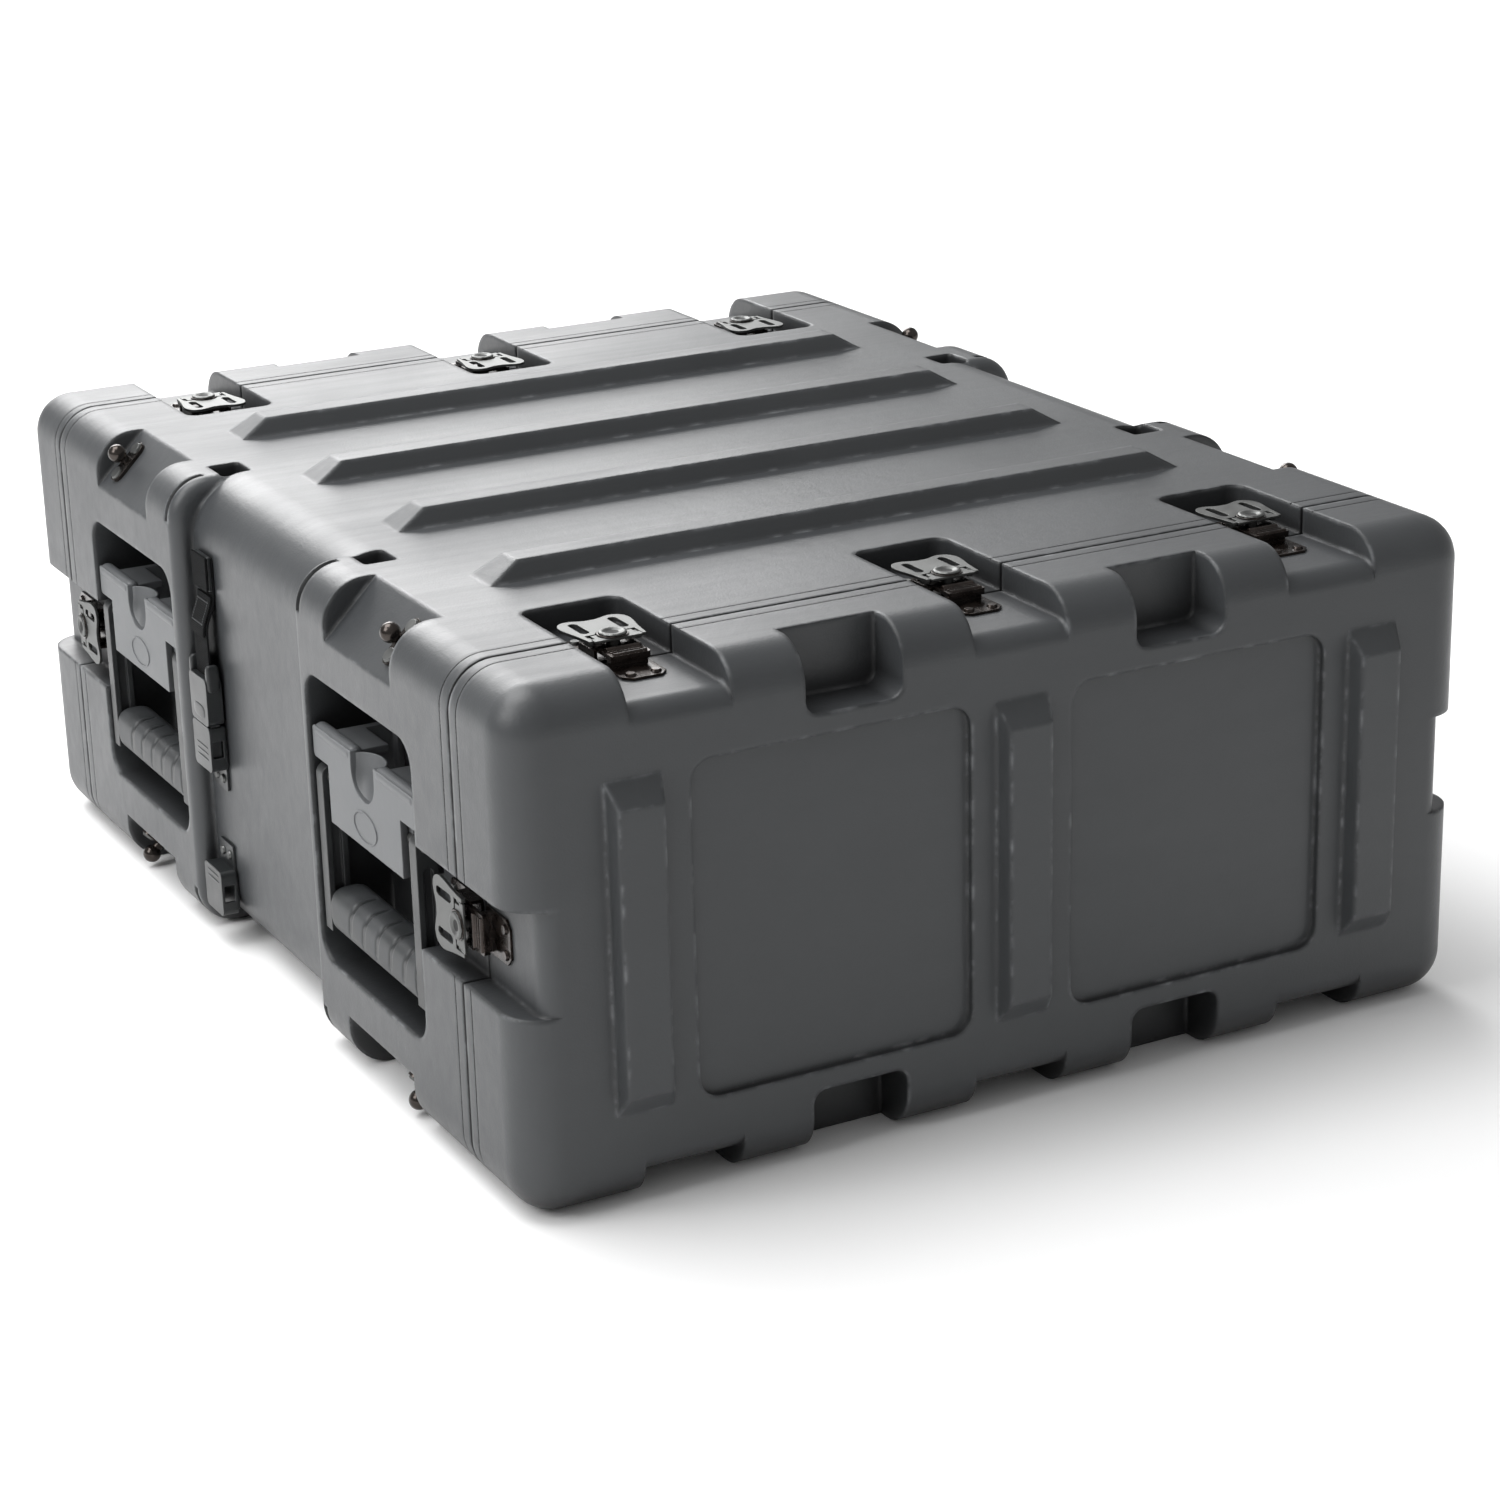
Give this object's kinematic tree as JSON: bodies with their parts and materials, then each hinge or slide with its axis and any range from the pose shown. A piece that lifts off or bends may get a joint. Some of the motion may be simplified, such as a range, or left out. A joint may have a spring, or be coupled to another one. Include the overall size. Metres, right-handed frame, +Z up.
{
  "type": "equipment rack case",
  "caption": "Rotomoulded shock-mounted rack case: double-ended shell with removable ribbed lids, twist latches in recesses, drop handles, strap buckles and inner rack frame.",
  "frame": {"origin": "centre of the footprint on the resting face", "axes": "+X across the case to its right side, +Y from the front lid to the rear lid, +Z up"},
  "size_m": [0.66, 0.8622, 0.3295],
  "materials": {
    "polyethylene": "fine grained rotomoulded polyethylene",
    "gasket": "soft seal",
    "blackened_steel": "dark bronze-black coating, glossy",
    "satin_steel": "satin plated steel",
    "bracket_plastic": "moulded nylon",
    "handle_plastic": "moulded nylon",
    "stud_steel": "dark coated, glossy",
    "buckle_plastic": "moulded acetal",
    "webbing": "woven polyester",
    "frame_metal": "bent sheet, satin",
    "rail_steel": "zinc plated",
    "mount_rubber": "moulded"
  },
  "bodies": {
    "case": {"body_shell": "polyethylene", "latch_pans": "blackened_steel", "latch_hubs": "satin_steel", "handle_brackets": "bracket_plastic", "handle_pins": "satin_steel", "tie_down_studs": "stud_steel", "buckle_sockets": "buckle_plastic", "strap_anchor_plates": "buckle_plastic", "strap_webbing": "webbing", "body_rivets": "satin_steel", "rack_frame": "frame_metal", "rack_rails": "rail_steel", "shock_mounts": "mount_rubber", "frame_bolts": "satin_steel"},
    "front_lid": {"front_lid": "polyethylene", "front_gasket": "gasket", "front_strikes": "blackened_steel", "front_lid_rivets": "satin_steel"},
    "rear_lid": {"rear_lid": "polyethylene", "rear_gasket": "gasket", "rear_strikes": "blackened_steel", "rear_lid_rivets": "satin_steel"},
    "wing_front_top_left": {"wing_front_top_left": "satin_steel"},
    "hook_front_top_left": {"hook_front_top_left": "blackened_steel"},
    "wing_front_top_centre": {"wing_front_top_centre": "satin_steel"},
    "hook_front_top_centre": {"hook_front_top_centre": "blackened_steel"},
    "wing_front_top_right": {"wing_front_top_right": "satin_steel"},
    "hook_front_top_right": {"hook_front_top_right": "blackened_steel"},
    "wing_front_bottom_left": {"wing_front_bottom_left": "satin_steel"},
    "hook_front_bottom_left": {"hook_front_bottom_left": "blackened_steel"},
    "wing_front_bottom_centre": {"wing_front_bottom_centre": "satin_steel"},
    "hook_front_bottom_centre": {"hook_front_bottom_centre": "blackened_steel"},
    "wing_front_bottom_right": {"wing_front_bottom_right": "satin_steel"},
    "hook_front_bottom_right": {"hook_front_bottom_right": "blackened_steel"},
    "wing_front_left": {"wing_front_left": "satin_steel"},
    "hook_front_left": {"hook_front_left": "blackened_steel"},
    "wing_front_right": {"wing_front_right": "satin_steel"},
    "hook_front_right": {"hook_front_right": "blackened_steel"},
    "wing_rear_top_left": {"wing_rear_top_left": "satin_steel"},
    "hook_rear_top_left": {"hook_rear_top_left": "blackened_steel"},
    "wing_rear_top_centre": {"wing_rear_top_centre": "satin_steel"},
    "hook_rear_top_centre": {"hook_rear_top_centre": "blackened_steel"},
    "wing_rear_top_right": {"wing_rear_top_right": "satin_steel"},
    "hook_rear_top_right": {"hook_rear_top_right": "blackened_steel"},
    "wing_rear_bottom_left": {"wing_rear_bottom_left": "satin_steel"},
    "hook_rear_bottom_left": {"hook_rear_bottom_left": "blackened_steel"},
    "wing_rear_bottom_centre": {"wing_rear_bottom_centre": "satin_steel"},
    "hook_rear_bottom_centre": {"hook_rear_bottom_centre": "blackened_steel"},
    "wing_rear_bottom_right": {"wing_rear_bottom_right": "satin_steel"},
    "hook_rear_bottom_right": {"hook_rear_bottom_right": "blackened_steel"},
    "wing_rear_left": {"wing_rear_left": "satin_steel"},
    "hook_rear_left": {"hook_rear_left": "blackened_steel"},
    "wing_rear_right": {"wing_rear_right": "satin_steel"},
    "hook_rear_right": {"hook_rear_right": "blackened_steel"},
    "handle_front_left": {"handle_front_left": "handle_plastic"},
    "handle_front_right": {"handle_front_right": "handle_plastic"},
    "handle_rear_left": {"handle_rear_left": "handle_plastic"},
    "handle_rear_right": {"handle_rear_right": "handle_plastic"},
    "strap_plug_left": {"strap_plug_left": "buckle_plastic"},
    "strap_plug_right": {"strap_plug_right": "buckle_plastic"}
  },
  "joints": [
    {"name": "front_lid_off", "type": "slide", "parent": "case", "child": "front_lid", "axis": [0, -1, 0], "range_m": [0, 0.15]},
    {"name": "rear_lid_off", "type": "slide", "parent": "case", "child": "rear_lid", "axis": [0, 1, 0], "range_m": [0, 0.15]},
    {"name": "front_top_left_wing_lift", "type": "hinge", "parent": "case", "child": "wing_front_top_left", "pos_m": [-0.2222, -0.3362, 0.3119], "axis": [1, 0, 0], "range_deg": [0, 90]},
    {"name": "front_top_left_hook_draw", "type": "slide", "parent": "case", "child": "hook_front_top_left", "axis": [0, -1, 0], "range_m": [0, 0.006]},
    {"name": "front_top_centre_wing_lift", "type": "hinge", "parent": "case", "child": "wing_front_top_centre", "pos_m": [0, -0.3362, 0.3119], "axis": [1, 0, 0], "range_deg": [0, 90]},
    {"name": "front_top_centre_hook_draw", "type": "slide", "parent": "case", "child": "hook_front_top_centre", "axis": [0, -1, 0], "range_m": [0, 0.006]},
    {"name": "front_top_right_wing_lift", "type": "hinge", "parent": "case", "child": "wing_front_top_right", "pos_m": [0.2222, -0.3362, 0.3119], "axis": [1, 0, 0], "range_deg": [0, 90]},
    {"name": "front_top_right_hook_draw", "type": "slide", "parent": "case", "child": "hook_front_top_right", "axis": [0, -1, 0], "range_m": [0, 0.006]},
    {"name": "front_bottom_left_wing_lift", "type": "hinge", "parent": "case", "child": "wing_front_bottom_left", "pos_m": [-0.2222, -0.3362, 0.0056], "axis": [-1, 0, 0], "range_deg": [0, 90]},
    {"name": "front_bottom_left_hook_draw", "type": "slide", "parent": "case", "child": "hook_front_bottom_left", "axis": [0, -1, 0], "range_m": [0, 0.006]},
    {"name": "front_bottom_centre_wing_lift", "type": "hinge", "parent": "case", "child": "wing_front_bottom_centre", "pos_m": [0, -0.3362, 0.0056], "axis": [-1, 0, 0], "range_deg": [0, 90]},
    {"name": "front_bottom_centre_hook_draw", "type": "slide", "parent": "case", "child": "hook_front_bottom_centre", "axis": [0, -1, 0], "range_m": [0, 0.006]},
    {"name": "front_bottom_right_wing_lift", "type": "hinge", "parent": "case", "child": "wing_front_bottom_right", "pos_m": [0.2222, -0.3362, 0.0056], "axis": [-1, 0, 0], "range_deg": [0, 90]},
    {"name": "front_bottom_right_hook_draw", "type": "slide", "parent": "case", "child": "hook_front_bottom_right", "axis": [0, -1, 0], "range_m": [0, 0.006]},
    {"name": "front_left_wing_lift", "type": "hinge", "parent": "case", "child": "wing_front_left", "pos_m": [-0.3244, -0.3362, 0.15875], "axis": [0, 0, 1], "range_deg": [0, 90]},
    {"name": "front_left_hook_draw", "type": "slide", "parent": "case", "child": "hook_front_left", "axis": [0, -1, 0], "range_m": [0, 0.006]},
    {"name": "front_right_wing_lift", "type": "hinge", "parent": "case", "child": "wing_front_right", "pos_m": [0.3244, -0.3362, 0.15875], "axis": [0, 0, -1], "range_deg": [0, 90]},
    {"name": "front_right_hook_draw", "type": "slide", "parent": "case", "child": "hook_front_right", "axis": [0, -1, 0], "range_m": [0, 0.006]},
    {"name": "rear_top_left_wing_lift", "type": "hinge", "parent": "case", "child": "wing_rear_top_left", "pos_m": [-0.2222, 0.3362, 0.3119], "axis": [-1, 0, 0], "range_deg": [0, 90]},
    {"name": "rear_top_left_hook_draw", "type": "slide", "parent": "case", "child": "hook_rear_top_left", "axis": [0, 1, 0], "range_m": [0, 0.006]},
    {"name": "rear_top_centre_wing_lift", "type": "hinge", "parent": "case", "child": "wing_rear_top_centre", "pos_m": [0, 0.3362, 0.3119], "axis": [-1, 0, 0], "range_deg": [0, 90]},
    {"name": "rear_top_centre_hook_draw", "type": "slide", "parent": "case", "child": "hook_rear_top_centre", "axis": [0, 1, 0], "range_m": [0, 0.006]},
    {"name": "rear_top_right_wing_lift", "type": "hinge", "parent": "case", "child": "wing_rear_top_right", "pos_m": [0.2222, 0.3362, 0.3119], "axis": [-1, 0, 0], "range_deg": [0, 90]},
    {"name": "rear_top_right_hook_draw", "type": "slide", "parent": "case", "child": "hook_rear_top_right", "axis": [0, 1, 0], "range_m": [0, 0.006]},
    {"name": "rear_bottom_left_wing_lift", "type": "hinge", "parent": "case", "child": "wing_rear_bottom_left", "pos_m": [-0.2222, 0.3362, 0.0056], "axis": [1, 0, 0], "range_deg": [0, 90]},
    {"name": "rear_bottom_left_hook_draw", "type": "slide", "parent": "case", "child": "hook_rear_bottom_left", "axis": [0, 1, 0], "range_m": [0, 0.006]},
    {"name": "rear_bottom_centre_wing_lift", "type": "hinge", "parent": "case", "child": "wing_rear_bottom_centre", "pos_m": [0, 0.3362, 0.0056], "axis": [1, 0, 0], "range_deg": [0, 90]},
    {"name": "rear_bottom_centre_hook_draw", "type": "slide", "parent": "case", "child": "hook_rear_bottom_centre", "axis": [0, 1, 0], "range_m": [0, 0.006]},
    {"name": "rear_bottom_right_wing_lift", "type": "hinge", "parent": "case", "child": "wing_rear_bottom_right", "pos_m": [0.2222, 0.3362, 0.0056], "axis": [1, 0, 0], "range_deg": [0, 90]},
    {"name": "rear_bottom_right_hook_draw", "type": "slide", "parent": "case", "child": "hook_rear_bottom_right", "axis": [0, 1, 0], "range_m": [0, 0.006]},
    {"name": "rear_left_wing_lift", "type": "hinge", "parent": "case", "child": "wing_rear_left", "pos_m": [-0.3244, 0.3362, 0.15875], "axis": [0, 0, -1], "range_deg": [0, 90]},
    {"name": "rear_left_hook_draw", "type": "slide", "parent": "case", "child": "hook_rear_left", "axis": [0, 1, 0], "range_m": [0, 0.006]},
    {"name": "rear_right_wing_lift", "type": "hinge", "parent": "case", "child": "wing_rear_right", "pos_m": [0.3244, 0.3362, 0.15875], "axis": [0, 0, 1], "range_deg": [0, 90]},
    {"name": "rear_right_hook_draw", "type": "slide", "parent": "case", "child": "hook_rear_right", "axis": [0, 1, 0], "range_m": [0, 0.006]},
    {"name": "handle_front_left_swing", "type": "hinge", "parent": "case", "child": "handle_front_left", "pos_m": [-0.321, -0.2036, 0.18675], "axis": [0, 1, 0], "range_deg": [0, 90]},
    {"name": "handle_front_right_swing", "type": "hinge", "parent": "case", "child": "handle_front_right", "pos_m": [0.321, -0.2036, 0.18675], "axis": [0, -1, 0], "range_deg": [0, 90]},
    {"name": "handle_rear_left_swing", "type": "hinge", "parent": "case", "child": "handle_rear_left", "pos_m": [-0.321, 0.2036, 0.18675], "axis": [0, 1, 0], "range_deg": [0, 90]},
    {"name": "handle_rear_right_swing", "type": "hinge", "parent": "case", "child": "handle_rear_right", "pos_m": [0.321, 0.2036, 0.18675], "axis": [0, -1, 0], "range_deg": [0, 90]},
    {"name": "strap_plug_left_release", "type": "slide", "parent": "case", "child": "strap_plug_left", "axis": [0, 0, 1], "range_m": [0, 0.026]},
    {"name": "strap_plug_right_release", "type": "slide", "parent": "case", "child": "strap_plug_right", "axis": [0, 0, 1], "range_m": [0, 0.026]}
  ],
  "couplings": [
    {"joint": "front_top_left_hook_draw", "follows": "front_top_left_wing_lift", "m_per_rad": 0.0038},
    {"joint": "front_top_centre_hook_draw", "follows": "front_top_centre_wing_lift", "m_per_rad": 0.0038},
    {"joint": "front_top_right_hook_draw", "follows": "front_top_right_wing_lift", "m_per_rad": 0.0038},
    {"joint": "front_bottom_left_hook_draw", "follows": "front_bottom_left_wing_lift", "m_per_rad": 0.0038},
    {"joint": "front_bottom_centre_hook_draw", "follows": "front_bottom_centre_wing_lift", "m_per_rad": 0.0038},
    {"joint": "front_bottom_right_hook_draw", "follows": "front_bottom_right_wing_lift", "m_per_rad": 0.0038},
    {"joint": "front_left_hook_draw", "follows": "front_left_wing_lift", "m_per_rad": 0.0038},
    {"joint": "front_right_hook_draw", "follows": "front_right_wing_lift", "m_per_rad": 0.0038},
    {"joint": "rear_top_left_hook_draw", "follows": "rear_top_left_wing_lift", "m_per_rad": 0.0038},
    {"joint": "rear_top_centre_hook_draw", "follows": "rear_top_centre_wing_lift", "m_per_rad": 0.0038},
    {"joint": "rear_top_right_hook_draw", "follows": "rear_top_right_wing_lift", "m_per_rad": 0.0038},
    {"joint": "rear_bottom_left_hook_draw", "follows": "rear_bottom_left_wing_lift", "m_per_rad": 0.0038},
    {"joint": "rear_bottom_centre_hook_draw", "follows": "rear_bottom_centre_wing_lift", "m_per_rad": 0.0038},
    {"joint": "rear_bottom_right_hook_draw", "follows": "rear_bottom_right_wing_lift", "m_per_rad": 0.0038},
    {"joint": "rear_left_hook_draw", "follows": "rear_left_wing_lift", "m_per_rad": 0.0038},
    {"joint": "rear_right_hook_draw", "follows": "rear_right_wing_lift", "m_per_rad": 0.0038}
  ]
}
